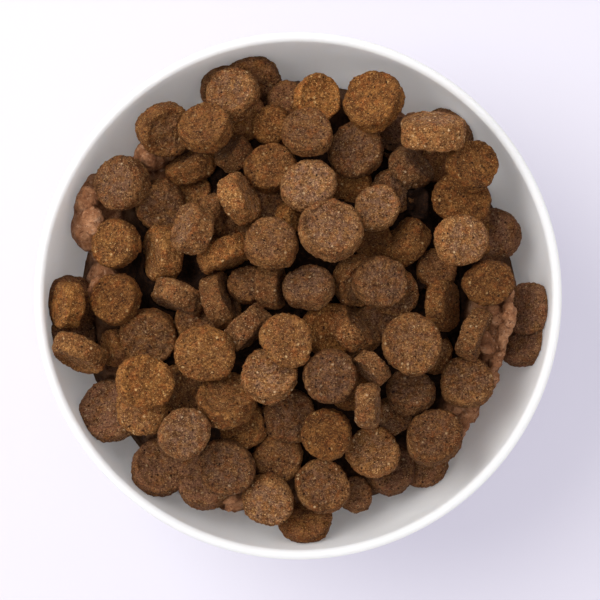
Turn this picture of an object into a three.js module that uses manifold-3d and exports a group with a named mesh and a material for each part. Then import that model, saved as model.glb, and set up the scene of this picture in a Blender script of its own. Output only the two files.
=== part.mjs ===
// A round ceramic pet bowl, heaped with dry disc-shaped food over minced wet food.
// Millimetres, +Z up. The origin is the centre of the foot ring's underside.
// Seen from above, +X is to the right and +Y is up.

import * as THREE from 'three'
import { mergeVertices } from 'three/addons/utils/BufferGeometryUtils.js'
import Module from 'manifold-3d'

const wasm = await Module()
wasm.setup()

// The bowl
const rimDiameter = 140
const bowlHeight = 66
const lipThickness = 2.6
const floorThickness = 4.2
const footDiameter = 66
const footHeight = 8
const footWidth = 4
const footRecess = 3.4
const bowlSides = 36
const sideSteps = 6

// The food
const clearance = 0.3
const kibbleDiameter = 14.6
const kibbleThickness = 6.2
const kibbleSides = 10
const pressedSides = 8
const standingTilt = 50
const faceShare = 0.8
const sideShare = 0.2
const bevelShare = 0.86
const unevenShare = 0.035
const thicknessSpread = 0.16
const kibbleWarp = 0.5
const sinkDepth = 1.6
const pressedSeed = 500

// The mound of wet food under the dry food: its crown above or below the lip's centre line, and
// its edge at each listed direction in degrees, in layout steps above or below that line
const moundCrown = -1
const moundEdges = [
  [0, -14],
  [45, -24],
  [90, -19],
  [135, -17],
  [180, -15],
  [225, -13],
  [270, -15],
  [315, -29],
]
const moundLumps = 0.9
const lumpSpacing = 11
const skirtWidth = 14
const skirtFall = 30
const moundRings = 6
const moundSides = 16
const lumpSides = 7
const lumpBulge = 0.16

// Places in the lists count in this many equal steps from the bowl's axis to the rim
const layoutSteps = 70

// Compass directions in a view from above, in degrees anticlockwise from +X
const compassPoints = 16
const compass = Array.from({ length: compassPoints }, (_, index) => index * 360 / compassPoints)
const [E, ENE, NE, , N, NNW, NW, WNW, W, , SW, SSW, S, SSE, SE, ESE] = compass

// Dry pieces that lie free, in the order in which they were laid, lowest first. Each row is the
// place across, the place up, the diameter as a share of the usual one, the tilt in degrees and
// the direction that the top face looks.
const loosePieces = [
  [-35.5, 44.5, 0.95, 35, SE],
  [-48.5, 14, 0.98, 28, W],
  [-17.5, 54, 0.98, 25, NW],
  [5, 53, 0.91, 18, E],
  [-36.5, 11.5, 0.98, 62, W],
  [-21.5, 21, 0.86, 66, E],
  [-32, -0.5, 1.03, 80, SSW],
  [-20.5, -1, 1.02, 72, ENE],
  [-19.5, 11, 0.98, 80, SSE],
  [-7.5, 2.5, 0.82, 74, E],
  [-61.5, -2.5, 0.89, 62, W],
  [-58, -15, 1.05, 72, SSW],
  [-41.5, -30, 0.96, 15, W],
  [-7.5, 34, 0.95, 12, N],
  [15.5, 39, 1.0, 10, NW],
  [43.5, 26, 1.02, 10, S],
  [45.5, 34, 1.0, 25, NE],
  [30.5, 34.5, 0.9, 60, NE],
  [35.5, 43, 1.12, 70, N],
  [21, 23, 0.91, 25, N],
  [28.5, 14, 1.0, 64, NW],
  [38.5, -2.5, 1.02, 66, E],
  [50, 3.5, 0.91, 12, SE],
  [45, -23, 1.0, 18, N],
  [46, -10, 1.0, 78, ESE],
  [30, -26, 0.95, 38, N],
  [15, -9, 1.0, 70, NE],
  [19.5, -18.5, 0.7, 72, SW],
  [18, -28.5, 0.84, 82, E],
  [8.5, -21, 1.0, 5, W],
  [-19, -27.5, 1.09, 48, N],
  [-13.5, -8.5, 0.98, 84, SE],
  [-8, -54.5, 0.98, 15, S],
  [6.5, -51, 0.98, 15, N],
  [20, 52, 1.18, 35, NW],
  [-29, 34.5, 1.0, 68, NNW],
  [-27.5, 17.5, 0.91, 62, WNW],
  [-15.5, 25.5, 0.98, 72, ENE],
  [-24.5, 44, 0.98, 33, NNW],
  [-47, 30, 0.95, 30, W],
  [-48.5, -1, 0.98, 25, WNW],
  [3, 29, 1.04, 10, N],
  [2.5, 43, 0.98, 25, N],
  [42.5, 14.5, 1.0, 25, E],
  [3, 2, 0.96, 40, NNW],
  [-7, 13.5, 1.04, 28, N],
  [8.5, 17, 1.11, 22, N],
  [21.5, 3.5, 1.0, 18, E],
  [36, -37.5, 1.04, 25, NNW],
  [29.5, -12.5, 1.09, 5, E],
  [20, -42, 1.02, 25, N],
  [7.5, -36.5, 1.0, 10, W],
  [-19, -45.5, 1.0, 8, W],
  [-29.5, -36, 0.98, 10, NE],
  [-40, -22.5, 1.04, 20, E],
  [-24.5, -15, 1.07, 30, S],
  [-7.5, -21, 1.02, 28, N],
  [-3, -11.5, 1.02, 5, SE],
]

// Dry pieces pressed into the wet food, in the same form
const pressedPieces = [
  [-37, 24.5, 0.95, 25, S],
  [-62, -2.5, 1.18, 40, E],
  [-62, -11, 1.0, 35, E],
  [-17, 38, 0.75, 65, NW],
  [-3, 52.5, 0.8, 20, N],
  [-20.5, 56, 0.96, 25, S],
  [-12.5, 58, 1.04, 30, S],
  [-7, 45.5, 0.82, 20, W],
  [41, 44.5, 1.0, 30, SW],
  [47.5, 17.5, 0.96, 20, E],
  [53, 16.5, 1.04, 30, W],
  [26, 28.5, 0.8, 20, E],
  [-2, 21, 0.6, 50, E],
  [-13.5, 3, 0.75, 20, N],
  [8, -9, 1.0, 20, E],
  [16, 4, 0.98, 40, SE],
  [26, 1, 0.9, 20, S],
  [37, 7, 0.82, 20, N],
  [62.5, -3.5, 1.07, 40, W],
  [61, -12, 1.04, 40, NW],
  [25, -32.5, 0.8, 20, S],
  [2, -60, 1.04, 40, N],
  [-50.5, -31, 1.18, 30, NNW],
  [-2.5, -32, 1.0, 15, E],
  [-14.5, -34.5, 0.93, 20, W],
  [-5.5, -43, 0.95, 15, S],
  [-25, -50, 1.11, 30, N],
  [-37.5, -46.5, 1.11, 30, NE],
  [-40, -10.5, 1.14, 25, S],
  [-49, -14, 0.7, 60, W],
  [25, -47.5, 0.93, 25, N],
  [34.5, -46, 0.96, 30, NW],
  [15.5, -54, 0.7, 25, N],
]

// Lumps of wet food that stand out of the mound: place across, place up, height of the lump's
// middle above the mound, and half sizes across, up and high, all in layout steps
const meatLumps = [
  [-56.5, 26.5, -1, 6, 8, 9],
  [-56.5, 18.5, -1, 6, 7, 9],
  [-40, 38, 3, 5, 4.5, 4],
  [32, 25, 4, 3.5, 5.5, 5],
  [52.5, -3, 5, 5, 6, 6],
  [51.5, -12, 5, 5, 6.5, 6],
  [49, -21, 4.5, 5.5, 6.5, 5.5],
  [44.5, -30, 4, 6, 6, 5],
  [40, -37, 3.5, 6, 5.5, 4.5],
  [-18, -54.5, 2, 6, 4, 4],
]

// One layout step, so that the places follow the rim when its size changes
const layoutStep = rimDiameter / 2 / layoutSteps

const lipRadius = lipThickness / 2
const lipCentre = bowlHeight - lipRadius
const floorTop = footRecess + floorThickness
const mouthRadius = rimDiameter / 2 - lipThickness

// A repeatable number from 0 to 1 for each seed
function chance(seed) {
  const wave = Math.sin(seed * 127.1 + 311.7) * 43758.5453
  return wave - Math.floor(wave)
}

function smooth(share) {
  return share * share * (3 - 2 * share)
}

// Points on a quarter ellipse from the rim (share 0) down to its lowest point (share 1)
function ellipsePoint(radius, depth, share) {
  const angle = share * Math.PI / 2
  return new THREE.Vector2(radius * Math.cos(angle), lipCentre - depth * Math.sin(angle))
}

// The bowl's inside from the floor's middle up to the lip, moved inwards by a gap
function insideCurve(gap, steps) {
  const points = [new THREE.Vector2(0, floorTop + gap)]
  for (let i = steps - 1; i >= 0; i--) {
    points.push(ellipsePoint(mouthRadius - gap, lipCentre - floorTop - gap, i / steps))
  }
  return points
}

// The bowl's outside from the lip down to where it meets the foot
function outsideCurve(steps) {
  const radius = rimDiameter / 2
  const footAngle = Math.acos(footDiameter / 2 / radius)
  const depth = (lipCentre - footHeight) / Math.sin(footAngle)
  const points = []
  for (let i = 0; i <= steps; i++) {
    points.push(ellipsePoint(radius, depth, footAngle / (Math.PI / 2) * i / steps))
  }
  return points
}

function lipCurve(steps) {
  const points = []
  for (let i = 1; i < steps; i++) {
    const angle = Math.PI * (1 - i / steps)
    const x = rimDiameter / 2 - lipRadius + lipRadius * Math.cos(angle)
    points.push(new THREE.Vector2(x, lipCentre + lipRadius * Math.sin(angle)))
  }
  return points
}

// The foot ring, from its outer edge to the underside's middle
function footCurve() {
  const outer = footDiameter / 2
  const taper = footWidth / 8
  const bevel = footWidth / 6
  return [
    new THREE.Vector2(outer - taper, bevel),
    new THREE.Vector2(outer - taper - bevel, 0),
    new THREE.Vector2(outer - footWidth + bevel, 0),
    new THREE.Vector2(outer - footWidth, bevel),
    new THREE.Vector2(outer - footWidth - taper, footRecess),
    new THREE.Vector2(0, footRecess),
  ]
}

function bowlGeometry() {
  const inside = insideCurve(0, sideSteps)
  const profile = [...inside, ...lipCurve(4), ...outsideCurve(sideSteps), ...footCurve()]
  return new THREE.LatheGeometry(profile.reverse(), bowlSides)
}

// Geometry with only shared positions, as the solid library needs it
function welded(geometry) {
  const bare = geometry.clone()
  bare.deleteAttribute('normal')
  bare.deleteAttribute('uv')
  return mergeVertices(bare, 1e-4)
}

function toSolid(geometry) {
  const bare = welded(geometry)
  const mesh = new wasm.Mesh({
    numProp: 3,
    vertProperties: new Float32Array(bare.attributes.position.array),
    triVerts: new Uint32Array(bare.index.array),
  })
  return new wasm.Manifold(mesh)
}

function toGeometry(solid) {
  const mesh = solid.getMesh()
  const geometry = new THREE.BufferGeometry()
  geometry.setAttribute('position', new THREE.BufferAttribute(mesh.vertProperties, 3))
  geometry.setIndex(new THREE.BufferAttribute(mesh.triVerts, 1))
  geometry.computeVertexNormals()
  return geometry
}

// The height of the mound's edge in one direction, blended between the listed directions
function moundEdge(degrees) {
  const step = 360 / moundEdges.length
  const turn = ((degrees % 360) + 360) % 360 / step
  const first = Math.floor(turn) % moundEdges.length
  const next = (first + 1) % moundEdges.length
  const share = smooth(turn - Math.floor(turn))
  return THREE.MathUtils.lerp(moundEdges[first][1], moundEdges[next][1], share) * layoutStep
}

function moundHeight(x, y) {
  const reach = Math.min(Math.hypot(x, y) / mouthRadius, 1)
  const edge = moundEdge(THREE.MathUtils.radToDeg(Math.atan2(y, x)))
  const wave = Math.PI * 2 / lumpSpacing
  const lumps = Math.sin(x * wave + 1.3) * Math.cos(y * wave * 0.83 + 0.4)
  return lipCentre + THREE.MathUtils.lerp(moundCrown, edge, reach * reach) + moundLumps * lumps
}

// A block whose top is the mound, with a skirt that falls steeply to the bowl's wall, and whose
// sides stand outside the bowl's inside
function moundBlock() {
  const radius = rimDiameter / 2
  const shoulder = radius - skirtWidth
  const profile = [new THREE.Vector2(0, 0), new THREE.Vector2(radius, 0)]
  profile.push(new THREE.Vector2(radius, bowlHeight))
  for (let i = moundRings - 1; i >= 0; i--) {
    profile.push(new THREE.Vector2(shoulder * i / (moundRings - 1), bowlHeight))
  }
  const block = new THREE.LatheGeometry(profile, moundSides)
  const position = block.attributes.position
  for (let i = 0; i < position.count; i++) {
    if (position.getY(i) === 0) continue
    const x = position.getX(i)
    const y = -position.getZ(i)
    const fall = Math.hypot(x, y) > shoulder + clearance ? skirtFall : 0
    position.setY(i, moundHeight(x, y) - fall)
  }
  return upright(block)
}

// Lathe and sphere shapes turn about Y, and this sets them upright along +Z
function upright(geometry) {
  return geometry.rotateX(Math.PI / 2)
}

// The outline of half a disc, up from the middle of its underside. The side is straight with a
// bevel at each face.
function discProfile(radius, half) {
  const bevel = half * bevelShare
  return [
    new THREE.Vector2(0, -half),
    new THREE.Vector2(radius * faceShare, -bevel),
    new THREE.Vector2(radius, -half * sideShare),
    new THREE.Vector2(radius, half * sideShare),
    new THREE.Vector2(radius * faceShare, bevel),
    new THREE.Vector2(0, half),
  ]
}

// A disc whose underside is hidden needs no lower bevel
function pressedProfile(radius, half) {
  return discProfile(radius, half).filter((_, index) => index !== 1)
}

// A plain short cylinder around a disc, as the hollow that it presses into the wet food
function hollowProfile(radius, half) {
  return [
    new THREE.Vector2(0, -half - clearance),
    new THREE.Vector2(radius + clearance, -half - clearance),
    new THREE.Vector2(radius + clearance, half + clearance),
    new THREE.Vector2(0, half + clearance),
  ]
}

// One piece of dry food, a little oval, uneven and warped
function kibbleGeometry(diameter, sides, seed, profile) {
  const radius = diameter / 2
  const half = kibbleThickness / 2 * (1 + thicknessSpread * (chance(seed) - 0.5))
  const disc = upright(new THREE.LatheGeometry(profile(radius, half), sides))
  const position = disc.attributes.position
  for (let i = 0; i < position.count; i++) {
    const x = position.getX(i)
    const y = position.getY(i)
    const turn = Math.atan2(y, x)
    const oval = Math.cos(2 * turn + 6 * chance(seed + 0.1))
    const lobes = Math.cos(3 * turn + 6 * chance(seed + 0.2))
    const stretch = 1 + unevenShare * (oval + 0.6 * lobes)
    const bend = kibbleWarp * (chance(seed + 0.3) - 0.5) * (x * x - y * y) / (radius * radius)
    position.setXYZ(i, x * stretch, y * stretch, position.getZ(i) + bend)
  }
  return disc
}

// Tips a disc so that its top face looks in one direction
function tilted(tilt, facing) {
  const turn = THREE.MathUtils.degToRad(facing)
  const axis = new THREE.Vector3(-Math.sin(turn), Math.cos(turn), 0)
  return new THREE.Quaternion().setFromAxisAngle(axis, THREE.MathUtils.degToRad(tilt))
}

function kibbleMesh([across, up, size, tilt, facing], sides, seed, profile) {
  const geometry = kibbleGeometry(kibbleDiameter * size, sides, seed, profile)
  const mesh = new THREE.Mesh(geometry, kibbleMaterial)
  mesh.position.set(across * layoutStep, up * layoutStep, 0)
  mesh.quaternion.copy(tilted(tilt, facing))
  return mesh
}

// Geometry moved and turned to where its mesh stands
function placed(mesh) {
  mesh.updateMatrix()
  return mesh.geometry.clone().applyMatrix4(mesh.matrix)
}

function pressedKibble(row, index) {
  const mesh = kibbleMesh(row, pressedSides, pressedSeed + index, pressedProfile)
  const ground = moundHeight(mesh.position.x, mesh.position.y)
  mesh.position.z = ground + kibbleThickness / 2 - sinkDepth
  return toSolid(placed(mesh))
}

// A lump with bulges, from a coarse ball
function meatLump([across, up, lift, halfAcross, halfUp, halfHigh], index) {
  const ball = new THREE.SphereGeometry(1, lumpSides, lumpSides - 2)
  const position = ball.attributes.position
  for (let i = 0; i < position.count; i++) {
    const x = position.getX(i)
    const y = position.getY(i)
    const z = position.getZ(i)
    const wave = Math.sin(4 * x + index) * Math.cos(3 * y + 2 * index) * Math.cos(3 * z)
    const size = (1 + lumpBulge * wave) * layoutStep
    position.setXYZ(i, x * halfAcross * size, y * halfUp * size, z * halfHigh * size)
  }
  const x = across * layoutStep
  const y = up * layoutStep
  ball.translate(x, y, moundHeight(x, y) + lift * layoutStep)
  return toSolid(ball)
}

// The bowl's whole inside, less a gap all round, which trims the food to fit
function insidePlug() {
  const profile = insideCurve(clearance, sideSteps)
  profile.push(new THREE.Vector2(0, lipCentre))
  return toSolid(upright(new THREE.LatheGeometry(profile, bowlSides)))
}

// The wet food, with the low pieces of dry food that are pressed into it
function wetFoodSolid() {
  let food = toSolid(moundBlock())
  pressedPieces.forEach((row, index) => {
    food = food.add(pressedKibble(row, index))
  })
  meatLumps.forEach((row, index) => {
    food = food.add(meatLump(row, index))
  })
  return food.intersect(insidePlug())
}

// A map of the highest surface over a square grid, on which pieces are laid
const cell = 0.4
const mapHalf = Math.ceil((rimDiameter / 2 + kibbleDiameter) / cell)
const mapSide = 2 * mapHalf + 1

// Calls visit(cell number, height) for each grid point under each triangle
function overTriangles(geometry, visit) {
  const flat = geometry.index ? geometry.toNonIndexed() : geometry
  const p = flat.attributes.position
  for (let i = 0; i < p.count; i += 3) {
    overTriangle(point(p, i), point(p, i + 1), point(p, i + 2), visit)
  }
}

function point(position, index) {
  return new THREE.Vector3().fromBufferAttribute(position, index)
}

function overTriangle(a, b, c, visit) {
  const area = (b.x - a.x) * (c.y - a.y) - (c.x - a.x) * (b.y - a.y)
  if (Math.abs(area) < 1e-9) return
  const left = Math.ceil(Math.min(a.x, b.x, c.x) / cell)
  const right = Math.floor(Math.max(a.x, b.x, c.x) / cell)
  const near = Math.ceil(Math.min(a.y, b.y, c.y) / cell)
  const far = Math.floor(Math.max(a.y, b.y, c.y) / cell)
  for (let row = near; row <= far; row++) {
    for (let column = left; column <= right; column++) {
      const x = column * cell
      const y = row * cell
      const shareB = ((x - a.x) * (c.y - a.y) - (c.x - a.x) * (y - a.y)) / area
      const shareC = ((b.x - a.x) * (y - a.y) - (x - a.x) * (b.y - a.y)) / area
      if (shareB < 0 || shareC < 0 || shareB + shareC > 1) continue
      const height = a.z + shareB * (b.z - a.z) + shareC * (c.z - a.z)
      visit((row + mapHalf) * mapSide + column + mapHalf, height)
    }
  }
}

// Adds a shape's upper surface to the map, one cell wider all round for sideways clearance
function layDown(map, geometry) {
  overTriangles(geometry, (index, height) => {
    for (let row = -mapSide; row <= mapSide; row += mapSide) {
      for (let column = -1; column <= 1; column++) {
        const near = index + row + column
        map[near] = Math.max(map[near], height)
      }
    }
  })
}

// How far a shape must rise to clear everything on the map
function riseNeeded(map, geometry) {
  let rise = -Infinity
  overTriangles(geometry, (index, height) => {
    rise = Math.max(rise, map[index] - height)
  })
  return rise + clearance
}

const glaze = new THREE.MeshStandardMaterial({ color: 0xf4f2ef, roughness: 0.12, metalness: 0 })
const kibbleMaterial = new THREE.MeshStandardMaterial({ color: 0x7a5436, roughness: 0.95, metalness: 0 })
const meatMaterial = new THREE.MeshStandardMaterial({ color: 0x6f4a40, roughness: 0.8, metalness: 0 })

function namedMesh(name, geometry, material) {
  const mesh = new THREE.Mesh(geometry, material)
  mesh.name = name
  return mesh
}

function emptyMap() {
  return new Float64Array(mapSide * mapSide).fill(-Infinity)
}

const filledBowl = new THREE.Group()
const bowl = namedMesh('bowl', upright(bowlGeometry()), glaze)
let wetFood = wetFoodSolid()

// How deep a piece that stands on its edge presses into the soft food
function standingDepth(tilt, geometry) {
  if (tilt < standingTilt) return 0
  geometry.computeBoundingBox()
  return geometry.boundingBox.max.z - geometry.boundingBox.min.z - kibbleThickness
}

// Hard things stop a piece, and the soft food gives way under one that stands on its edge
const hard = emptyMap()
const soft = emptyMap()
layDown(hard, bowl.geometry)
layDown(soft, toGeometry(wetFood))

loosePieces.forEach((row, index) => {
  const piece = kibbleMesh(row, kibbleSides, index, discProfile)
  piece.name = 'kibble_' + String(index + 1).padStart(2, '0')
  const level = placed(piece)
  const onSoft = riseNeeded(soft, level)
  const depth = standingDepth(row[3], level)
  piece.position.z = Math.max(riseNeeded(hard, level), onSoft - depth)
  layDown(hard, placed(piece))
  filledBowl.add(piece)
  if (piece.position.z < onSoft) {
    const hollow = kibbleMesh(row, kibbleSides, index, hollowProfile)
    hollow.position.z = piece.position.z
    wetFood = wetFood.subtract(toSolid(placed(hollow)))
  }
})

filledBowl.add(bowl, namedMesh('wet_food', toGeometry(wetFood), meatMaterial))

export default filledBowl
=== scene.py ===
"""A round glazed pet bowl, heaped with dry food over wet food, dressed around its solids."""

import math

import bpy
import numpy as np
from mathutils import Matrix, Vector
from mathutils.kdtree import KDTree


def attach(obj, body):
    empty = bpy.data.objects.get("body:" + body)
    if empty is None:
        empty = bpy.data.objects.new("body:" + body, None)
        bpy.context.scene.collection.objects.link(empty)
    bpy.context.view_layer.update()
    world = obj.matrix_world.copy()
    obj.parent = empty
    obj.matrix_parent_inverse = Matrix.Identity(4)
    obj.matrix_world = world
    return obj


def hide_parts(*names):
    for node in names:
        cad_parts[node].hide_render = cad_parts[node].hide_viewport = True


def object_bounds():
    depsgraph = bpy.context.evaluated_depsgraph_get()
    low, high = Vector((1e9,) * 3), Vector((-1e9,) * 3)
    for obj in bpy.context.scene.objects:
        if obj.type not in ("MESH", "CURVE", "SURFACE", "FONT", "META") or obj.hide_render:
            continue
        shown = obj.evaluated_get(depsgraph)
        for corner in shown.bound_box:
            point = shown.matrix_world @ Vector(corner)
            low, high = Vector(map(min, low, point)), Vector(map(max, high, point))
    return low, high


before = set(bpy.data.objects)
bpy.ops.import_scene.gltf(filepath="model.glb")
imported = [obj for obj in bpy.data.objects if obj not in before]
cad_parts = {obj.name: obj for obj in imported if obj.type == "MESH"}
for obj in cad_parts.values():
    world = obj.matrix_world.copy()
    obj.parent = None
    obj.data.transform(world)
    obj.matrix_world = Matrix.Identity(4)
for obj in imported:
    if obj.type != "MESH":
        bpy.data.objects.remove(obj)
cad_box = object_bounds()

MM = 0.001
BODY = "root"

# Points of a solid that lie this close are one, in millimetres
MERGE_DISTANCE = 0.002

# The bowl's sizes, in millimetres, as in its solid
RIM_RADIUS = 70
BOWL_HEIGHT = 66
LIP_THICKNESS = 2.6
FLOOR_TOP = 7.6
FOOT_RADIUS = 33
FOOT_HEIGHT = 8
FOOT_WIDTH = 4
FOOT_RECESS = 3.4
FOOT_TAPER = FOOT_WIDTH / 8
FOOT_BEVEL = FOOT_WIDTH / 6
LIP_RADIUS = LIP_THICKNESS / 2
LIP_CENTRE = BOWL_HEIGHT - LIP_RADIUS
MOUTH_RADIUS = RIM_RADIUS - LIP_THICKNESS

# How finely the bowl is turned: its sides, the steps along each stretch of its section, and how
# closely its points are matched, in millimetres
BOWL_SIDES = 192
INSIDE_STEPS = 36
LIP_STEPS = 12
OUTSIDE_STEPS = 26
FOOT_EDGE_STEPS = 5
RECESS_STEPS = 4
POINT_SLACK = 0.01

# The dry food's sizes, in millimetres, as in its solids, and the space it keeps to the bowl
KIBBLE_DIAMETER = 14.6
KIBBLE_THICKNESS = 6.2
SINK_DEPTH = 1.6
WALL_GAP = 0.1

# How a disc departs from its sizes, all as shares: how wide it is, how large a low one is, how
# far one face may draw in, and how many draw in at the underside
FULLNESS = 1.03
LOW_FULLNESS = 0.98
FACE_TAPER = 0.12
UNDERSIDE_SHARE = 0.35

# A disc's sides, and its rounded edge: the least width and how much wider it may be, in
# millimetres, and its steps
DISC_SIDES = 40
EDGE_WIDTH = 0.9
EDGE_SPREAD = 0.7
EDGE_SEGMENTS = 3

# How fine each mesh is, in millimetres
LOOSE_VOXEL = 0.42
LOW_VOXEL = 0.52
FOOD_VOXEL = 0.8
SHRED_VOXEL = 0.4

# Faces are dished or swollen: the whole range in millimetres, the share of it that is dish, and
# the deepest dish in a disc that lies low
DISH_RANGE = 1.5
DISH_SHARE = 0.78
LOW_DISH_DEPTH = 0.5

# The flat faces of a disc: how far out they reach and over what stretch they fade there, as
# shares of its radius, and over what share of its half thickness they grow from its middle plane
FACE_REACH = 0.90
FACE_FADE = 0.22
FACE_RISE = 0.6

# The crust's relief: all over in millimetres, and then each pattern, its height in millimetres
# and its level that stays where it is
CRUST_GROWTH = 0.15
CRUST_RELIEF = [("swell", 1.7, 0.5), ("lumps", 0.9, 0.5), ("grit", 1.0, 0.5), ("pits", 0.4, 1)]

# Low discs are darker as painted shade, and those far from the middle are smeared with wet food:
# the share of their tone, from what radius in millimetres, and how much
LOW_DISC_SHADE = 0.45
SMEARED_FROM = 50
SMEAR = 0.5

# What is added to a disc's seed for each of its traits
TRAIT_SEEDS = {"dish": 0.4, "underside": 0.5, "taper": 0.6, "tone": 0.7, "edge": 0.8, "warm": 0.9}
PRESSED_SEED = 500
DEEP_SEED = 700

# The mound of wet food: its crown, and its edge at each listed direction in degrees, as heights
# above or below the lip's centre line, and then its low lumps
MOUND_CROWN = -1
MOUND_EDGES = [
    (0, -14), (45, -24), (90, -19), (135, -17),
    (180, -15), (225, -13), (270, -15), (315, -29),
]
MOUND_LUMPS = 0.9
LUMP_SPACING = 11
LUMP_STRETCH = 0.83
LUMP_SHIFTS = (1.3, 0.4)

# The relief of the wet food, in millimetres: its lumps and strands, how far it draws in under a
# low disc and how far around it, how far from the wall it starts and over what stretch it grows.
# Where no mince shows, lumps and strands have only a share of their height.
MINCE_LUMPS = 3.2
MINCE_STRANDS = 1.6
COVERED_DEPTH = 2.5
COVER_MARGIN = 0.6
WALL_CALM = 0.6
WALL_FADE = 2.5
PLAIN_SHARE = 0.35

# The crevices between the dry pieces, in millimetres: their depth, how far from a piece they
# start and over what stretch they deepen, how far out they reach and over what stretch they fade
# there, and how far below the lip's centre line they reach
CREVICE_DEPTH = 5.5
CREVICE_START = 0.8
CREVICE_SLOPE = 3
CREVICE_REACH = 54
CREVICE_FADE = 6
CREVICE_DROP = 22

# Mince that shows faintly all along the edge: from what radius and over what stretch, in
# millimetres, and how much
EDGE_MINCE_FROM = 46
EDGE_MINCE_FADE = 8
EDGE_MINCE = 0.3

# Where a patch of mince has faded out, and over what stretch it fades, as shares of its reach
PATCH_REACH = 1.2
PATCH_FADE = 0.4

# One point in this many stands for a dry piece where distances are measured
POINT_STEP = 5

# The relief of a shred: each pattern and its height in millimetres
SHRED_RELIEF = [("mince", 2.2), ("shreds", 1.8), ("grit", 0.8)]

# Compass directions in a view from above, in degrees anticlockwise from +X
E, NE, N, NNW, NW, W, SW, S, SE = 0, 45, 90, 112.5, 135, 180, 225, 270, 315

# Dry pieces pressed into the wet food: place across, place up, diameter as a share of the usual
# one, tilt in degrees and the direction that the top face looks
PRESSED_PIECES = [
    (-37, 24.5, 0.95, 25, S), (-62, -2.5, 1.18, 40, E), (-62, -11, 1.0, 35, E),
    (-17, 38, 0.75, 65, NW), (-3, 52.5, 0.8, 20, N), (-20.5, 56, 0.96, 25, S),
    (-12.5, 58, 1.04, 30, S), (-7, 45.5, 0.82, 20, W), (41, 44.5, 1.0, 30, SW),
    (47.5, 17.5, 0.96, 20, E), (53, 16.5, 1.04, 30, W), (26, 28.5, 0.8, 20, E),
    (-2, 21, 0.6, 50, E), (-13.5, 3, 0.75, 20, N), (8, -9, 1.0, 20, E),
    (16, 4, 0.98, 40, SE), (26, 1, 0.9, 20, S), (37, 7, 0.82, 20, N),
    (62.5, -3.5, 1.07, 40, W), (61, -12, 1.04, 40, NW), (25, -32.5, 0.8, 20, S),
    (2, -60, 1.04, 40, N), (-50.5, -31, 1.18, 30, NNW), (-2.5, -32, 1.0, 15, E),
    (-14.5, -34.5, 0.93, 20, W), (-5.5, -43, 0.95, 15, S), (-25, -50, 1.11, 30, N),
    (-37.5, -46.5, 1.11, 30, NE), (-40, -10.5, 1.14, 25, S), (-49, -14, 0.7, 60, W),
    (25, -47.5, 0.93, 25, N), (34.5, -46, 0.96, 30, NW), (15.5, -54, 0.7, 25, N),
]

# Dry pieces that only show at the bottom of the gaps: place across, place up, height of their
# middle above the mound, diameter share, tilt and direction
DEEP_PIECES = [
    (-8.5, 25.5, -2.2, 0.9, 10, E), (-15.5, 48.5, 1.5, 0.95, 30, S),
    (13.5, 29.5, -2.2, 0.9, 15, S), (-27, -7, -2.4, 0.85, 20, N),
    (20, 14.5, -2.4, 0.8, 10, N), (21, -6.5, -2.6, 0.8, 15, S),
    (-31.5, -25, -2.0, 0.95, 15, E), (14, -25.5, -2.4, 0.8, 20, S),
    (14.5, -13.5, -2.2, 0.75, 20, N), (-16.5, 19, -2.4, 0.8, 25, E),
    (27, 43, -1.5, 0.8, 30, S), (39, 36, -2.5, 0.8, 20, E),
    (-29, 28, -3.0, 0.8, 15, N), (36, -15, -3.0, 0.8, 15, N),
]

# Where the mince shows: place across, place up and reach of each patch
MINCE_PATCHES = [
    (-56.5, 26.5, 9), (-56.5, 18.5, 9), (-40, 37, 6.5), (-53.5, 4, 5),
    (31, 49, 5), (54, 2, 7), (54, -5, 8), (53, -14, 8), (50, -23, 8), (46, -31, 7),
    (41, -38, 5), (-18, -54.5, 4),
]

# Shreds that stand up from the wet food: place across, place up, height of their middle above
# it, length, width and height, and the direction they point
MINCE_SHREDS = [
    (55.5, 1.5, 0.6, 8, 4, 4, 100), (56, -4.5, 1.0, 8, 3.6, 5, 95), (54.5, -10.5, 0.8, 9, 4, 4.5, 75),
    (53, -17, 0.8, 8, 3.6, 4.5, 70), (50, -23, 0.6, 8, 3.8, 4, 62), (47.5, -28.5, 0.6, 8, 3.6, 4, 60),
    (45, -33.5, 0.5, 8, 3.6, 4, 65), (51, -3, 0.4, 6, 5, 3.5, 40), (50, -12.5, 0.6, 7, 5, 4, 110),
    (43.5, -30.5, 0.4, 5, 3, 3, 20), (44, -35.5, 2.4, 9, 4, 5, 62), (42, -38, 1.8, 7, 3.5, 4, 50),
    (-56.5, 26, 0.8, 7, 6, 5, 60), (-55, 20, 0.8, 8, 6, 5, 100), (-40.5, 37, 0.8, 6, 4, 3.5, 150),
    (-44, 33, 0.5, 5, 4, 3.5, 110), (-54.5, 2.5, 1.8, 6, 4, 5, 60), (-52, 19.5, 0.8, 3, 2.5, 3, 0),
    (30.5, 49, 0.4, 5, 3, 3, 45), (33, 47, 0.4, 4, 2.5, 3, 100), (-18, -54.5, 0.3, 4.5, 3, 3, 10),
]

# Colours, as linear red, green and blue
GLAZE_THIN = (0.93, 0.93, 0.925)
GLAZE_THICK = (0.95, 0.95, 0.95)
GLAZE_SPECK = (0.84, 0.83, 0.81)
CRUST_DARK = (0.135, 0.049, 0.013)
CRUST_BROWN = (0.255, 0.102, 0.027)
CRUST_GOLDEN = (0.395, 0.176, 0.049)
CRUST_RED = (0.310, 0.094, 0.022)
CRUST_DUST = (0.252, 0.120, 0.057)
CRUST_SMEAR = (0.370, 0.165, 0.088)
BURNT_GRAIN = (0.060, 0.020, 0.006)
PALE_GRAIN = (0.62, 0.350, 0.120)
BURNT_SPECK = (0.055, 0.018, 0.006)
PALE_SPECK = (0.72, 0.440, 0.180)
PALE_CHIP = (0.70, 0.47, 0.23)
# Painted shade that stands for small holes in the crust
HOLE_SHADE = (0.030, 0.010, 0.004)
MINCE_DARK = (0.110, 0.036, 0.014)
MINCE_BROWN = (0.350, 0.146, 0.064)
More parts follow.
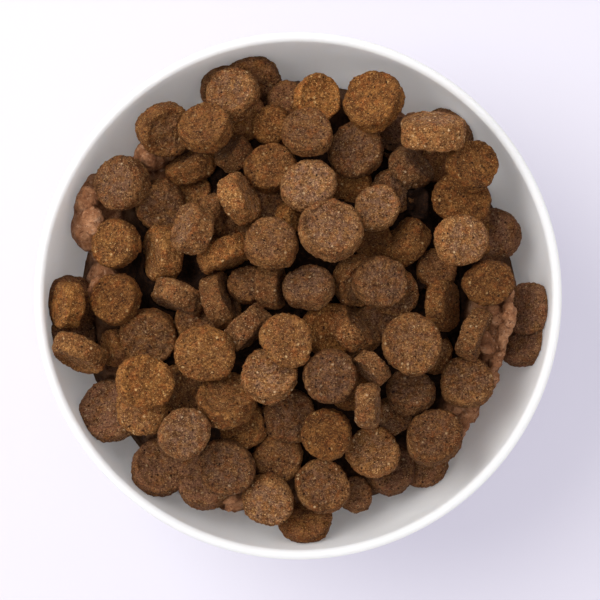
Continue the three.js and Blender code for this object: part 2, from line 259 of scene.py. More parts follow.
MINCE_ROSY = (0.530, 0.255, 0.125)
MINCE_PALE = (0.700, 0.440, 0.280)
MINCE_SHRED = (0.62, 0.350, 0.205)
# Dark streaks of painted shade for the cavities in the mince
MINCE_CAVITY_SHADE = (0.130, 0.040, 0.018)
# Painted shade for the wet food where no mince shows: nearly black, with dim flecks
CREVICE_SHADE_BLACK = (0.006, 0.002, 0.001)
CREVICE_SHADE_BROWN = (0.030, 0.011, 0.004)
CREVICE_SHADE_FLECK = (0.090, 0.035, 0.012)
FLOOR_COLOUR = (0.63, 0.615, 0.63)
FLOOR_GLOW = (0.68, 0.64, 1)
WINDOW_COLOUR = (1.0, 0.985, 0.96)
ROOM_COLOUR = (0.99, 0.98, 1.0)

# Colours that another is multiplied by: painted shade where the crust's mottle is low and painted
# light where it is high, and the ends of the range of tones and of tints that the pieces have
HOLLOW_SHADE = (0.42, 0.36, 0.30)
EVEN = (0.95, 0.95, 0.95)
RISE_LIGHT = (1.6, 1.6, 1.6)
DARKEST_TONE = (0.60, 0.57, 0.56)
PALEST_TONE = (1.30, 1.32, 1.32)
COOLEST_TINT = (0.98, 1.03, 1.24)
WARMEST_TINT = (1.02, 0.95, 0.78)

# Light, floor and camera, in metres and watts, and the camera's lens in millimetres
WINDOW_PLACE = (-0.52, 0.28, 0.78)
WINDOW_AIM = (0, 0, 0.05)
WINDOW_SIZE = 0.75
WINDOW_POWER = 6.8
ROOM_STRENGTH = 0.78
FLOOR_SIZE = 4
FLOOR_GLOW_STRENGTH = 0.25
CAMERA_ACROSS = 0.5 * MM
CAMERA_UP = -1.1 * MM
CAMERA_DISTANCE = 500 * MM
CAMERA_LENS = 113
CAMERA_SENSOR = 36


def chance(seed):
    """A repeatable number from 0 to 1 for each seed."""
    wave = math.sin(seed * 127.1 + 311.7) * 43758.5453
    return wave - math.floor(wave)


def trait(seed, name):
    """One trait of a disc, from 0 to 1."""
    return chance(seed + TRAIT_SEEDS[name])


def smooth(share):
    """Eases a share from 0 to 1 in at both ends."""
    share = np.clip(share, 0, 1)
    return share * share * (3 - 2 * share)


def select_only(piece):
    bpy.ops.object.select_all(action="DESELECT")
    piece.select_set(True)
    bpy.context.view_layer.objects.active = piece


def apply_modifier(piece, kind, **settings):
    """Adds one modifier to a piece and applies it."""
    select_only(piece)
    modifier = piece.modifiers.new(kind, kind)
    for key, value in settings.items():
        setattr(modifier, key, value)
    bpy.ops.object.modifier_apply(modifier=modifier.name)


def points_of(piece):
    """The piece's points as rows of three, in metres."""
    flat = np.zeros(len(piece.data.vertices) * 3)
    piece.data.vertices.foreach_get("co", flat)
    return flat.reshape(-1, 3)


def mark(piece, name, values):
    """Writes one number for each point as a named attribute."""
    attribute = piece.data.attributes.get(name)
    if attribute is None:
        attribute = piece.data.attributes.new(name, "FLOAT", "POINT")
    attribute.data.foreach_set("value", np.asarray(values, np.float32))


def weigh(piece, name, weights):
    """Makes a vertex group with these weights."""
    group = piece.vertex_groups.new(name=name)
    for level in range(1, 11):
        chosen = np.nonzero(np.round(weights * 10) == level)[0]
        if len(chosen):
            group.add(chosen.tolist(), level / 10, "REPLACE")
    return group.name


def wall_radius(height):
    """The bowl's inner radius at a height, both in millimetres."""
    drop = np.clip((LIP_CENTRE - height) / (LIP_CENTRE - FLOOR_TOP), 0, 1)
    return MOUTH_RADIUS * np.sqrt(1 - drop * drop)


def keep_in_bowl(piece):
    """Presses what would run into the bowl's wall flat against it, and trims the heap's top to
    its solids."""
    points = points_of(piece)
    out = np.hypot(points[:, 0], points[:, 1]) / MM
    room = wall_radius(points[:, 2] / MM) - WALL_GAP
    points[:, :2] *= np.minimum(room / np.maximum(out, 1), 1)[:, None]
    points[:, 2] = np.minimum(points[:, 2], cad_box[1][2])
    piece.data.vertices.foreach_set("co", points.ravel())
    piece.data.update()


def cloud_texture(name, size, depth=2):
    """A cloudy pattern for relief, with this size of lump in millimetres."""
    texture = bpy.data.textures.new(name, "CLOUDS")
    texture.noise_scale = size * MM
    texture.noise_depth = depth
    texture.noise_basis = "ORIGINAL_PERLIN"
    return texture


def pit_texture(name, size, width):
    """Small round hollows, as wide as this share of the space between them."""
    texture = bpy.data.textures.new(name, "VORONOI")
    texture.noise_scale = size * MM
    texture.distance_metric = "DISTANCE"
    texture.use_color_ramp = True
    hollow, level = texture.color_ramp.elements
    hollow.position = 0
    hollow.color = (0, 0, 0, 1)
    level.position = width
    level.color = (1, 1, 1, 1)
    return texture


def relief_patterns():
    """The patterns that shape the crust and the mince."""
    return {
        "swell": cloud_texture("crust_swell", 7.0, depth=1),
        "lumps": cloud_texture("crust_lumps", 2.6),
        "grit": cloud_texture("crust_grit", 0.9, depth=3),
        "pits": pit_texture("crust_pits", 2.2, 0.22),
        "mince": cloud_texture("mince_lumps", 5.0, depth=3),
        "shreds": cloud_texture("mince_shreds", 1.6, depth=3),
    }


def displace(piece, strength, **settings):
    """Moves a piece's surface outwards by this many millimetres, or by a pattern of that
    height."""
    apply_modifier(piece, "DISPLACE", strength=strength * MM, **settings)


def solid_points(node):
    """A CAD node's corners, each once."""
    return np.unique(points_of(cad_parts[node]).round(6), axis=0)


def copy_of_node(node, name):
    """A new piece with a CAD node's shape, its doubles merged."""
    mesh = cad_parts[node].data.copy()
    mesh.name = name
    mesh.materials.clear()
    piece = bpy.data.objects.new(name, mesh)
    bpy.context.scene.collection.objects.link(piece)
    select_only(piece)
    bpy.ops.object.mode_set(mode="EDIT")
    bpy.ops.mesh.select_all(action="SELECT")
    bpy.ops.mesh.remove_doubles(threshold=MERGE_DISTANCE * MM)
    bpy.ops.object.mode_set(mode="OBJECT")
    return piece


def finish_piece(piece, material, slot, *nodes):
    """Gives a piece its material and its place in the model."""
    piece.data.materials.append(material)
    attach(piece, BODY)
    if nodes:
        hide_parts(*nodes)


class Surface:
    """A material under construction, with short calls that add and join nodes."""

    def __init__(self, name):
        self.material = bpy.data.materials.new(name)
        self.material.use_nodes = True
        self.tree = self.material.node_tree
        self.shader = self.tree.nodes["Principled BSDF"]
        self.place = self.add("ShaderNodeTexCoord").outputs["Object"]

    def add(self, kind, **settings):
        node = self.tree.nodes.new(kind)
        for key, value in settings.items():
            setattr(node, key, value)
        return node

    def feed(self, socket, value):
        """Joins an output to a socket, or writes a constant in it."""
        if isinstance(value, bpy.types.NodeSocket):
            self.tree.links.new(value, socket)
        else:
            socket.default_value = value

    def noise(self, size, detail=2, roughness=0.5, distortion=0):
        """Noise from 0 to 1 whose lumps are this many millimetres across."""
        node = self.add("ShaderNodeTexNoise")
        self.feed(node.inputs["Vector"], self.place)
        node.inputs["Scale"].default_value = 1 / (size * MM)
        node.inputs["Detail"].default_value = detail
        node.inputs["Roughness"].default_value = roughness
        node.inputs["Distortion"].default_value = distortion
        return node.outputs["Fac"]

    def cells(self, size):
        """Round spots this many millimetres apart: the distance from the nearest spot's middle,
        and a number from 0 to 1 for each spot."""
        node = self.add("ShaderNodeTexVoronoi")
        self.feed(node.inputs["Vector"], self.place)
        node.inputs["Scale"].default_value = 1 / (size * MM)
        split = self.add("ShaderNodeSeparateColor")
        self.feed(split.inputs["Color"], node.outputs["Color"])
        return node.outputs["Distance"], split.outputs["Red"]

    def ramp(self, factor, *stops):
        """Colours along a factor, from (place, colour) stops."""
        node = self.add("ShaderNodeValToRGB")
        ramp = node.color_ramp
        while len(ramp.elements) < len(stops):
            ramp.elements.new(0.5)
        for element, (place, colour) in zip(ramp.elements, stops):
            element.position = place
            element.color = (*colour, 1)
        self.feed(node.inputs["Fac"], factor)
        return node.outputs["Color"]

    def mask(self, factor, low, high):
        """0 at one value of the factor and 1 at the other, which may be the lower one."""
        node = self.add("ShaderNodeMapRange", interpolation_type="SMOOTHSTEP")
        self.feed(node.inputs["Value"], factor)
        node.inputs["From Min"].default_value = low
        node.inputs["From Max"].default_value = high
        return node.outputs["Result"]

    def times(self, first, second, plus=None):
        """One factor times another, with something added if it is given."""
        operation = "MULTIPLY" if plus is None else "MULTIPLY_ADD"
        node = self.add("ShaderNodeMath", operation=operation)
        self.feed(node.inputs[0], first)
        self.feed(node.inputs[1], second)
        if plus is not None:
            self.feed(node.inputs[2], plus)
        return node.outputs["Value"]

    def mix(self, factor, first, second, blend="MIX"):
        node = self.add("ShaderNodeMix", data_type="RGBA", blend_type=blend)
        self.feed(node.inputs["Factor"], factor)
        for socket, value in ((node.inputs[6], first), (node.inputs[7], second)):
            if isinstance(value, tuple):
                value = (*value, 1)
            self.feed(socket, value)
        return node.outputs[2]

    def shade(self, colour, by):
        """A colour multiplied by another."""
        return self.mix(1.0, colour, by, "MULTIPLY")

    def attribute(self, name):
        return self.add("ShaderNodeAttribute", attribute_name=name).outputs["Fac"]

    def bump(self, height, depth, below=None):
        """Relief of this depth in millimetres."""
        node = self.add("ShaderNodeBump")
        node.inputs["Distance"].default_value = depth * MM
        self.feed(node.inputs["Height"], height)
        if below is not None:
            self.feed(node.inputs["Normal"], below)
        return node.outputs["Normal"]

    def set(self, **values):
        """Feeds the shader's sockets, with spaces in names written as underscores."""
        for name, value in values.items():
            if isinstance(value, tuple):
                value = (*value, 1)
            self.feed(self.shader.inputs[name.replace("_", " ")], value)


def glaze_material():
    """White satin glaze, a little warmer where it lies thin, with a few grey specks. Light goes
    some way into it."""
    glaze = Surface("white_glaze")
    thin = glaze.noise(26, detail=3)
    colour = glaze.mix(glaze.mask(thin, 0.35, 0.7), GLAZE_THIN, GLAZE_THICK)
    speck = glaze.mask(glaze.noise(0.9, detail=1), 0.76, 0.82)
    colour = glaze.mix(speck, colour, GLAZE_SPECK)
    polish = glaze.times(glaze.noise(9, detail=3), 0.10, plus=0.30)
    relief = glaze.bump(glaze.noise(14, detail=2), 0.2)
    glaze.set(Base_Color=colour, Roughness=polish, Normal=relief, Specular_IOR_Level=0.08)
    glaze.set(Subsurface_Weight=1.0, Subsurface_Scale=7 * MM)
    glaze.shader.inputs["Subsurface Radius"].default_value = (1.0, 0.95, 0.9)
    return glaze.material


def baked_colour(crust, broad, warm):
    """Golden brown meal with redder patches, and a dusty bloom on the flat faces of the cooler
    pieces."""
    colour = crust.ramp(broad, (0.3, CRUST_DARK), (0.5, CRUST_BROWN), (0.7, CRUST_GOLDEN))
    ruddy = crust.mask(crust.noise(2.3, detail=3, distortion=0.6), 0.48, 0.66)
    colour = crust.mix(crust.times(ruddy, 0.7), colour, CRUST_RED)
    dust = crust.mask(crust.noise(1.9, detail=4, roughness=0.65), 0.40, 0.62)
    bloom = crust.times(crust.attribute("flat"), dust)
    bloom = crust.times(bloom, crust.mask(warm, 1.15, 0.2))
    return crust.mix(bloom, colour, CRUST_DUST)


def smeared_colour(crust, colour):
    """Wet food smeared over the pieces that lie in it."""
    smear = crust.mask(crust.noise(3.1, detail=4, roughness=0.6), 0.36, 0.60)
    smear = crust.times(smear, crust.attribute("smeared"))
    return crust.mix(smear, colour, CRUST_SMEAR)


def grainy_colour(crust, colour, grain):
    """Burnt and pale grains, and finer specks of both."""
    fine = crust.noise(0.36, detail=2, roughness=0.6)
    colour = crust.mix(crust.mask(grain, 0.50, 0.34), colour, BURNT_GRAIN)
    colour = crust.mix(crust.mask(grain, 0.56, 0.72), colour, PALE_GRAIN)
    colour = crust.mix(crust.mask(fine, 0.43, 0.29), colour, BURNT_SPECK)
    return crust.mix(crust.mask(fine, 0.59, 0.72), colour, PALE_SPECK)


def chipped_colour(crust, colour, grain):
    """A few pale chips of meal, and small spots of painted shade that stand for holes."""
    distance, number = crust.cells(1.5)
    chips = crust.times(crust.mask(distance, 0.34, 0.12), crust.mask(grain, 0.42, 0.54))
    chips = crust.times(crust.mask(number, 0.80, 0.86), chips)
    colour = crust.mix(chips, colour, PALE_CHIP)
    distance, number = crust.cells(1.7)
    hole_shade = crust.times(crust.mask(number, 0.60, 0.70), crust.mask(distance, 0.26, 0.08))
    return crust.mix(hole_shade, colour, HOLE_SHADE)


def dry_food_material():
    """Baked meal: a brown crust, each piece with its own tone and tint."""
    crust = Surface("baked_kibble")
    warm = crust.attribute("warm")
    broad = crust.noise(4.0, detail=4, roughness=0.6)
    mottle = crust.noise(1.2, detail=5, roughness=0.7, distortion=0.8)
    grain = crust.noise(0.62, detail=4, roughness=0.75)
    colour = baked_colour(crust, broad, warm)
    # Uneven meal colour, with painted shade in the relief's hollows and painted light on its rises
    colour = crust.shade(colour, crust.ramp(mottle, (0.32, HOLLOW_SHADE), (0.5, EVEN), (0.7, RISE_LIGHT)))
    colour = smeared_colour(crust, colour)
    colour = grainy_colour(crust, colour, grain)
    colour = chipped_colour(crust, colour, grain)
    tone = crust.ramp(crust.attribute("tone"), (0, DARKEST_TONE), (1, PALEST_TONE))
    colour = crust.shade(colour, tone)
    colour = crust.shade(colour, crust.ramp(warm, (0, COOLEST_TINT), (1, WARMEST_TINT)))
    relief = crust.bump(mottle, 0.6, crust.bump(grain, 0.6))
    roughness = crust.times(broad, -0.2, plus=0.84)
    crust.set(Base_Color=colour, Roughness=roughness, Normal=relief, Specular_IOR_Level=0.15)
    return crust.material


def mince_colour(mince):
    """Rosy brown mince, with paler shreds and dark streaks of painted shade for its cavities."""
    broad = mince.noise(4.0, detail=4, roughness=0.6, distortion=0.4)
    colour = mince.ramp(
        broad, (0.25, MINCE_DARK), (0.45, MINCE_BROWN), (0.60, MINCE_ROSY), (0.80, MINCE_PALE)
    )
    shreds = mince.mask(mince.noise(1.2, detail=3, roughness=0.65), 0.55, 0.72)
    colour = mince.mix(shreds, colour, MINCE_SHRED)
    cavity_shade = mince.mask(mince.noise(0.9, detail=4, roughness=0.7, distortion=1.5), 0.46, 0.34)
    return mince.mix(cavity_shade, colour, MINCE_CAVITY_SHADE)


def wet_food_material():
    """Minced meat: rosy brown and moist where it shows, and painted shade, nearly black with dim
    brown flecks, where it lies between the dry pieces."""
    mince = Surface("minced_meat")
    shown = mince.attribute("mince")
    # Where no mince shows, the colour is painted shade: nearly black, with dim brown flecks
    crevice = mince.ramp(
        mince.noise(1.1, detail=4, roughness=0.7),
        (0.35, CREVICE_SHADE_BLACK), (0.60, CREVICE_SHADE_BROWN), (0.75, CREVICE_SHADE_FLECK),
    )
    colour = mince.mix(shown, crevice, mince_colour(mince))
    relief = mince.bump(mince.noise(0.9, detail=4, roughness=0.7, distortion=1.0), 1.1)
    moist = mince.times(shown, mince.mask(mince.noise(2.5, detail=2), 0.2, 0.7))
    dull = mince.times(moist, -0.5, plus=0.9)
    mince.set(Base_Color=colour, Roughness=dull, Normal=relief, Specular_IOR_Level=0.14)
    return mince.material


def wall_curve(radius, depth, steps, share=1.0):
    """Rings down a quarter ellipse from the lip: radius and height of each."""
    rings = []
    for i in range(steps + 1):
        angle = share * math.pi / 2 * i / steps
        rings.append((radius * math.cos(angle), LIP_CENTRE - depth * math.sin(angle)))
    return rings


def lip_curve(steps):
    """Rings over the rounded lip, from its inner to its outer side."""
    rings = []
    for i in range(1, steps):
        angle = math.pi * (1 - i / steps)
        across = RIM_RADIUS - LIP_RADIUS + LIP_RADIUS * math.cos(angle)
        rings.append((across, LIP_CENTRE + LIP_RADIUS * math.sin(angle)))
    return rings


def foot_curve():
    """The foot ring and the recess inside it, with rounded edges."""
    outer = FOOT_RADIUS - FOOT_TAPER - FOOT_BEVEL
    inner = FOOT_RADIUS - FOOT_WIDTH + FOOT_BEVEL
    angles = [math.pi / 2 * i / FOOT_EDGE_STEPS for i in range(FOOT_EDGE_STEPS + 1)]
    rings = []
    for angle in angles:
        rings.append((outer + FOOT_BEVEL * math.cos(angle), FOOT_BEVEL - FOOT_BEVEL * math.sin(angle)))
    for angle in angles:
        rings.append((inner - FOOT_BEVEL * math.sin(angle), FOOT_BEVEL - FOOT_BEVEL * math.cos(angle)))
    recess = FOOT_RADIUS - FOOT_WIDTH - FOOT_TAPER
    rings.append((recess, FOOT_RECESS - FOOT_BEVEL / 2))
    rings.append((recess - FOOT_BEVEL / 2, FOOT_RECESS))
    for i in range(RECESS_STEPS - 1, 0, -1):
        rings.append((recess * i / RECESS_STEPS, FOOT_RECESS))
    return rings


def extrude_rings(rings):
    """Turns an edge loop into a wall, one ring after another."""
    for before, after in zip(rings, rings[1:]):
        rise = (after[1] - before[1]) * MM
        bpy.ops.mesh.extrude_region_move(TRANSFORM_OT_translate={"value": (0, 0, rise)})
        grow = after[0] / before[0]
        bpy.ops.transform.resize(value=(grow, grow, 1))


def close_ring():
    """Closes the selected ring with faces that meet in its middle."""
    bpy.ops.mesh.extrude_region_move()
    bpy.ops.mesh.merge(type="CENTER")


def select_floor_ring(bowl, ring_radius):
    """Selects the open ring in the middle of the bowl's floor."""
    between = (FLOOR_TOP + FOOT_RECESS) / 2
    for vertex in bowl.data.vertices:
        out = math.hypot(vertex.co.x, vertex.co.y) / MM
        height = (bowl.location.z + vertex.co.z) / MM
        vertex.select = out < ring_radius + POINT_SLACK and height > between


def model_bowl():
    """Turned from one ring at the floor's middle, up the inside, over the lip and down to the
    foot."""
    inside = wall_curve(MOUTH_RADIUS, LIP_CENTRE - FLOOR_TOP, INSIDE_STEPS)[:-1]
    foot_angle = math.acos(FOOT_RADIUS / RIM_RADIUS)
    outer_depth = (LIP_CENTRE - FOOT_HEIGHT) / math.sin(foot_angle)
    outside = wall_curve(RIM_RADIUS, outer_depth, OUTSIDE_STEPS, foot_angle / (math.pi / 2))
    rings = inside[::-1] + lip_curve(LIP_STEPS) + outside + foot_curve()
    first_radius, first_height = rings[0]
    bpy.ops.object.select_all(action="DESELECT")
    bpy.ops.mesh.primitive_circle_add(
        vertices=BOWL_SIDES, radius=first_radius * MM, location=(0, 0, first_height * MM)
    )
    bowl = bpy.context.object
    bowl.name = "glazed_bowl"
    bpy.ops.object.mode_set(mode="EDIT")
    bpy.ops.mesh.select_all(action="SELECT")
    extrude_rings(rings)
    close_ring()
    bpy.ops.mesh.select_all(action="DESELECT")
    bpy.ops.object.mode_set(mode="OBJECT")
    select_floor_ring(bowl, first_radius)
    bpy.ops.object.mode_set(mode="EDIT")
    close_ring()
    bpy.ops.mesh.select_all(action="SELECT")
    bpy.ops.mesh.normals_make_consistent(inside=False)
    bpy.ops.object.mode_set(mode="OBJECT")
    bpy.ops.object.transform_apply(location=True, rotation=True, scale=True)
    bpy.ops.object.shade_smooth()
    return bowl


def disc_frame(points):
    """A disc's middle, its own three directions with its axis last, and its half sizes."""
    middle = points.mean(0)
    spread = np.linalg.eigh(np.cov((points - middle).T))[1]
    turn = spread[:, ::-1].copy()
    turn[:, 2] *= np.sign(turn[2, 2]) or 1
    turn[:, 0] = np.cross(turn[:, 1], turn[:, 2])
    return middle, turn, np.abs((points - middle) @ turn).max(0)


def flatness(points, middle, turn, half_sizes):
    """How much each point belongs to a disc's flat faces: 1 in the middle, 0 at the rim."""
    place = (points - middle) @ turn / half_sizes
    out = np.hypot(place[:, 0], place[:, 1])
    return smooth((FACE_REACH - out) / FACE_FADE) * smooth(np.abs(place[:, 2]) / FACE_RISE)


def select_above(piece, middle, axis):
    """Selects the points on one side of a disc's middle plane."""
    for vertex in piece.data.vertices:
        vertex.select = (vertex.co - middle).dot(axis) > 0


def model_disc(name, middle, turn, half_sizes, seed):
    """A disc of meal as it is pressed: a short cylinder, a little narrower at one face, with
    rounded edges."""
    facing = Matrix(turn.tolist()).to_4x4().to_euler()
    bpy.ops.object.select_all(action="DESELECT")
    bpy.ops.mesh.primitive_cylinder_add(
        vertices=DISC_SIDES, radius=1, depth=2, location=middle, rotation=facing
    )
    disc = bpy.context.object
    disc.name = name
    disc.scale = half_sizes * (FULLNESS, FULLNESS, 1)
    bpy.ops.object.transform_apply(location=True, rotation=True, scale=True)
    axis = Vector(turn[:, 2]) * (1 if trait(seed, "underside") > UNDERSIDE_SHARE else -1)
    select_above(disc, Vector(middle), axis)
    narrow = 1 - FACE_TAPER * trait(seed, "taper")
    face = middle + axis * half_sizes[2]
    bpy.ops.object.mode_set(mode="EDIT")
    bpy.ops.transform.resize(value=(narrow, narrow, narrow), center_override=face)
    bpy.ops.object.mode_set(mode="OBJECT")
    width = (EDGE_WIDTH + EDGE_SPREAD * trait(seed, "edge")) * MM
    apply_modifier(
        disc, "BEVEL", width=width, segments=EDGE_SEGMENTS, limit_method="ANGLE", profile=0.5
    )
    return disc


def bake_kibble(piece, seed, middle, turn, half_sizes, low=False):
    """Gives a disc its crust: a dished or swollen face, lumps, grit and pits."""
    apply_modifier(piece, "REMESH", mode="VOXEL", voxel_size=(LOW_VOXEL if low else LOOSE_VOXEL) * MM)
    apply_modifier(piece, "SMOOTH", factor=0.5, iterations=1)
    flat = flatness(points_of(piece), middle, turn, half_sizes)
    swelling = DISH_RANGE * (trait(seed, "dish") - DISH_SHARE)
    if low:
        swelling = max(swelling, -LOW_DISH_DEPTH)
    displace(piece, CRUST_GROWTH, mid_level=0)
    displace(piece, swelling, mid_level=0, vertex_group=weigh(piece, "faces", flat))
    for pattern, height, level in CRUST_RELIEF:
        displace(piece, height, texture=patterns[pattern], mid_level=level)
    piece.vertex_groups.clear()
    mark_disc(piece, seed, flat, math.hypot(middle[0], middle[1]) / MM, low)
    keep_in_bowl(piece)
    select_only(piece)
    bpy.ops.object.shade_smooth()


def mark_disc(piece, seed, flat, out, low):
    """Writes down a disc's flat faces, its tone and tint, and whether it is smeared. A low disc's
    tone is darkened as painted shade.
    """
    mark(piece, "flat", flat)
    # A low disc's tone is darkened as painted shade
    mark(piece, "tone", np.full(len(flat), trait(seed, "tone") * (LOW_DISC_SHADE if low else 1)))
    mark(piece, "warm", np.full(len(flat), trait(seed, "warm")))
    mark(piece, "smeared", np.full(len(flat), SMEAR if low and out > SMEARED_FROM else 0))


def model_loose_kibble(node, seed):
    """One free piece, made where its solid lies."""
    place = disc_frame(solid_points(node))
    disc = model_disc("dry_food_" + node[-2:], *place, seed)
    bake_kibble(disc, seed, *place)
    return disc


def mound_height(x, y):
    """The wet food's height at a place, all in millimetres."""
    reach = min(math.hypot(x, y) / MOUTH_RADIUS, 1)
    step = 360 / len(MOUND_EDGES)
    turn = math.degrees(math.atan2(y, x)) % 360 / step
    first = int(turn) % len(MOUND_EDGES)
    following = (first + 1) % len(MOUND_EDGES)
    share = smooth(turn - math.floor(turn))
    edge = MOUND_EDGES[first][1] * (1 - share) + MOUND_EDGES[following][1] * share
    wave = 2 * math.pi / LUMP_SPACING
    across, up = LUMP_SHIFTS
    lumps = math.sin(x * wave + across) * math.cos(y * wave * LUMP_STRETCH + up)
    fall = MOUND_CROWN * (1 - reach * reach) + edge * reach * reach
    return LIP_CENTRE + fall + MOUND_LUMPS * lumps


def tilted(tilt, facing):
    """The three directions of a disc whose top face looks one way, its axis last."""
    axis = (-math.sin(math.radians(facing)), math.cos(math.radians(facing)), 0)
    return np.array(Matrix.Rotation(math.radians(tilt), 3, axis))


def disc_place(x, y, lift, size, tilt, facing):
    """A low disc's middle, its directions and its half sizes, in metres."""
    middle = np.array((x, y, mound_height(x, y) + lift)) * MM
    sizes = np.array((size * KIBBLE_DIAMETER, size * KIBBLE_DIAMETER, KIBBLE_THICKNESS))
    return middle, tilted(tilt, facing), sizes / 2 * LOW_FULLNESS * MM


def pressed_places():
    lift = KIBBLE_THICKNESS / 2 - SINK_DEPTH
    return [disc_place(x, y, lift, *rest) for x, y, *rest in PRESSED_PIECES]


def deep_places():
    return [disc_place(*row) for row in DEEP_PIECES]


def join_pieces(pieces, name):
    """Makes one piece of several."""
    select_only(pieces[0])
    for piece in pieces:
        piece.select_set(True)
    bpy.ops.object.join()
    joined = bpy.context.object
    joined.name = name
    return joined


def model_low_discs(name, places, first_seed):
    """Discs that lie deep in the heap, as one piece."""
    discs = []
    for index, place in enumerate(places):
        disc = model_disc(f"{name}_{index}", *place, first_seed + index)
        bake_kibble(disc, first_seed + index, *place, low=True)
        discs.append(disc)
    return join_pieces(discs, name)


def under_discs(points):
    """1 for each point that lies in a low disc or just around it."""
    inside = np.zeros(len(points))
    for middle, turn, half_sizes in pressed_places() + deep_places():
        place = np.abs((points - middle) @ turn)
        out = np.hypot(place[:, 0], place[:, 1])
        reach = half_sizes + COVER_MARGIN * MM
        inside = np.maximum(inside, (out < reach[0]) & (place[:, 2] < reach[2]))
    return inside


def distance_to(pieces, points):
    """How far each point lies from the nearest of some pieces, in millimetres."""
    near = np.concatenate([points_of(piece)[::POINT_STEP] for piece in pieces])
    tree = KDTree(len(near))
    for index, place in enumerate(near):
        tree.insert(place, index)
    tree.balance()
    return np.array([tree.find(place)[2] for place in points]) / MM


def mince_share(points):
    """1 where the mince shows, fading out around each patch."""
    share = np.zeros(len(points))
    for x, y, reach in MINCE_PATCHES:
        away = np.hypot(points[:, 0] / MM - x, points[:, 1] / MM - y)
        share = np.maximum(share, smooth((reach * PATCH_REACH - away) / (reach * PATCH_FADE)))
    return share


def crevice_share(points, out, dry_pieces):
    """1 in the gaps between the dry pieces, fading out towards them and towards the wall."""
    share = smooth((distance_to(dry_pieces, points) - CREVICE_START) / CREVICE_SLOPE)
    share *= smooth((CREVICE_REACH - out) / CREVICE_FADE)
    return share * (points[:, 2] / MM > LIP_CENTRE - CREVICE_DROP)


def model_wet_food(dry_pieces):
    """The mound of mince, sunk in the gaps between the dry pieces, and drawn in under the
    low discs."""
    food = copy_of_node("wet_food", "minced_food")
    apply_modifier(food, "REMESH", mode="VOXEL", voxel_size=FOOD_VOXEL * MM)
    apply_modifier(food, "SMOOTH", factor=0.5, iterations=4)
    points = points_of(food)
    out = np.hypot(points[:, 0], points[:, 1]) / MM
    room = smooth((wall_radius(points[:, 2] / MM) - out - WALL_CALM) / WALL_FADE)
    covered = under_discs(points)
    mince = mince_share(points)
    rough = room * (1 - covered) * (PLAIN_SHARE + (1 - PLAIN_SHARE) * mince)
    crevice = crevice_share(points, out, dry_pieces) * (1 - mince)
    covered_group = weigh(food, "covered", covered)
    crevice_group = weigh(food, "crevice", crevice)
    rough_group = weigh(food, "rough", rough)
    displace(food, -COVERED_DEPTH, mid_level=0, vertex_group=covered_group)
    displace(food, MINCE_LUMPS, texture=patterns["mince"], vertex_group=rough_group)
    displace(food, MINCE_STRANDS, texture=patterns["shreds"], vertex_group=rough_group)
    displace(food, -CREVICE_DEPTH, direction="Z", mid_level=0, vertex_group=crevice_group)
    edge = EDGE_MINCE * smooth((out - EDGE_MINCE_FROM) / EDGE_MINCE_FADE)
    mark(food, "mince", np.maximum(mince, edge))
    food.vertex_groups.clear()
    select_only(food)
    bpy.ops.object.shade_smooth()
    return food


def shred_place(food, x, y, lift):
    """The middle of a shred that lies on the wet food."""
    high = Vector((x * MM, y * MM, 2 * BOWL_HEIGHT * MM))
    on_food = food.ray_cast(high, Vector((0, 0, -1)))[1]
    return on_food + Vector((0, 0, lift * MM))


def model_shred(name, place, sizes, turn):
    """One ragged shred."""
    bpy.ops.object.select_all(action="DESELECT")
    bpy.ops.mesh.primitive_ico_sphere_add(
        subdivisions=4, radius=0.5 * MM, location=place, rotation=(0, 0, math.radians(turn))
    )
    shred = bpy.context.object
    shred.name = name
    shred.scale = sizes
    bpy.ops.object.transform_apply(location=True, rotation=True, scale=True)
    apply_modifier(shred, "REMESH", mode="VOXEL", voxel_size=SHRED_VOXEL * MM)
    for pattern, height in SHRED_RELIEF:
        displace(shred, height, texture=patterns[pattern])
    mark(shred, "mince", np.ones(len(shred.data.vertices)))
    return shred


def model_shreds(food):
    """Shreds that stand up from the wet food, half sunk in it, as one piece."""
    shreds = []
    for index, (x, y, lift, *sizes, turn) in enumerate(MINCE_SHREDS):
        shreds.append(model_shred(f"shred_{index}", shred_place(food, x, y, lift), sizes, turn))
    joined = join_pieces(shreds, "mince_shreds")
    keep_in_bowl(joined)
    bpy.ops.object.shade_smooth()
    return joined


def add_floor():
    """A pale floor that keeps the bowl's shadow and shows nearly white around it."""
    bpy.ops.object.select_all(action="DESELECT")
    bpy.ops.mesh.primitive_plane_add(size=FLOOR_SIZE, location=(0, 0, 0))
    floor = bpy.context.object
    floor.name = "floor"
    paper = Surface("white_floor")
    paper.set(Base_Color=FLOOR_COLOUR, Roughness=0.9, Specular_IOR_Level=0.1)
    paper.set(Emission_Color=FLOOR_GLOW)
    rays = paper.add("ShaderNodeLightPath")
    seen = rays.outputs["Is Camera Ray"]
    for name in ("Is Glossy Ray", "Is Transmission Ray"):
        either = paper.add("ShaderNodeMath", operation="MAXIMUM")
        paper.feed(either.inputs[0], seen)
        paper.feed(either.inputs[1], rays.outputs[name])
        seen = either.outputs["Value"]
    paper.set(Emission_Strength=paper.times(seen, FLOOR_GLOW_STRENGTH))
    floor.data.materials.append(paper.material)


def add_window():
    """Soft daylight from the upper left."""
    lamp = bpy.data.lights.new("window", "AREA")
    lamp.shape = "DISK"
    lamp.size = WINDOW_SIZE
    lamp.energy = WINDOW_POWER
    lamp.color = WINDOW_COLOUR
    holder = bpy.data.objects.new("window", lamp)
    holder.location = WINDOW_PLACE
    holder.rotation_mode = "QUATERNION"
    view = Vector(WINDOW_AIM) - Vector(WINDOW_PLACE)
    holder.rotation_quaternion = view.to_track_quat("-Z", "Y")
    bpy.context.scene.collection.objects.link(holder)


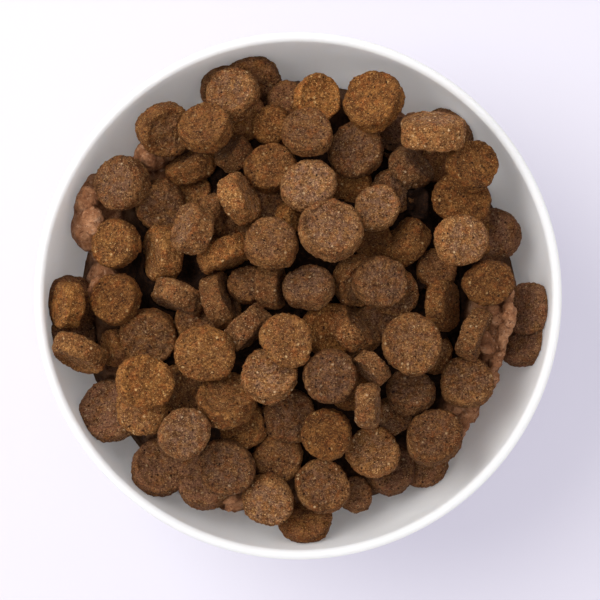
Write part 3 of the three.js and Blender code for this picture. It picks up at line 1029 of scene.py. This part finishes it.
def add_room():
    """A pale room all round, which the camera sees as plain white."""
    world = bpy.data.worlds.new("pale_room")
    bpy.context.scene.world = world
    world.use_nodes = True
    tree = world.node_tree
    room = tree.nodes["Background"]
    room.inputs["Color"].default_value = (*ROOM_COLOUR, 1)
    room.inputs["Strength"].default_value = ROOM_STRENGTH
    white = tree.nodes.new("ShaderNodeBackground")
    white.inputs["Color"].default_value = (1, 1, 1, 1)
    rays = tree.nodes.new("ShaderNodeLightPath")
    choice = tree.nodes.new("ShaderNodeMixShader")
    tree.links.new(rays.outputs["Is Camera Ray"], choice.inputs["Fac"])
    tree.links.new(room.outputs["Background"], choice.inputs[1])
    tree.links.new(white.outputs["Background"], choice.inputs[2])
    tree.links.new(choice.outputs["Shader"], tree.nodes["World Output"].inputs["Surface"])


def add_camera():
    """Straight above the rim, looking down."""
    camera = bpy.data.cameras.new("camera")
    camera.lens = CAMERA_LENS
    camera.sensor_width = CAMERA_SENSOR
    holder = bpy.data.objects.new("camera", camera)
    holder.location = (CAMERA_ACROSS, CAMERA_UP, LIP_CENTRE * MM + CAMERA_DISTANCE)
    bpy.context.scene.collection.objects.link(holder)
    bpy.context.scene.camera = holder


bpy.context.scene.view_settings.view_transform = "Standard"
patterns = relief_patterns()
glaze_surface = glaze_material()
dry_surface = dry_food_material()
wet_surface = wet_food_material()

finish_piece(model_bowl(), glaze_surface, "glaze", "bowl")

dry_pieces = []
for number, node_name in enumerate(sorted(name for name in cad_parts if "kibble" in name)):
    kibble = model_loose_kibble(node_name, number)
    finish_piece(kibble, dry_surface, "kibble", node_name)
    dry_pieces.append(kibble)

pressed_kibbles = model_low_discs("pressed_kibbles", pressed_places(), PRESSED_SEED)
deep_kibbles = model_low_discs("deep_kibbles", deep_places(), DEEP_SEED)
for low_discs in (pressed_kibbles, deep_kibbles):
    finish_piece(low_discs, dry_surface, "kibble")
    dry_pieces.append(low_discs)

minced_food = model_wet_food(dry_pieces)
finish_piece(minced_food, wet_surface, "wet_food", "wet_food")
finish_piece(model_shreds(minced_food), wet_surface, "wet_food")

add_floor()
add_window()
add_room()
add_camera()
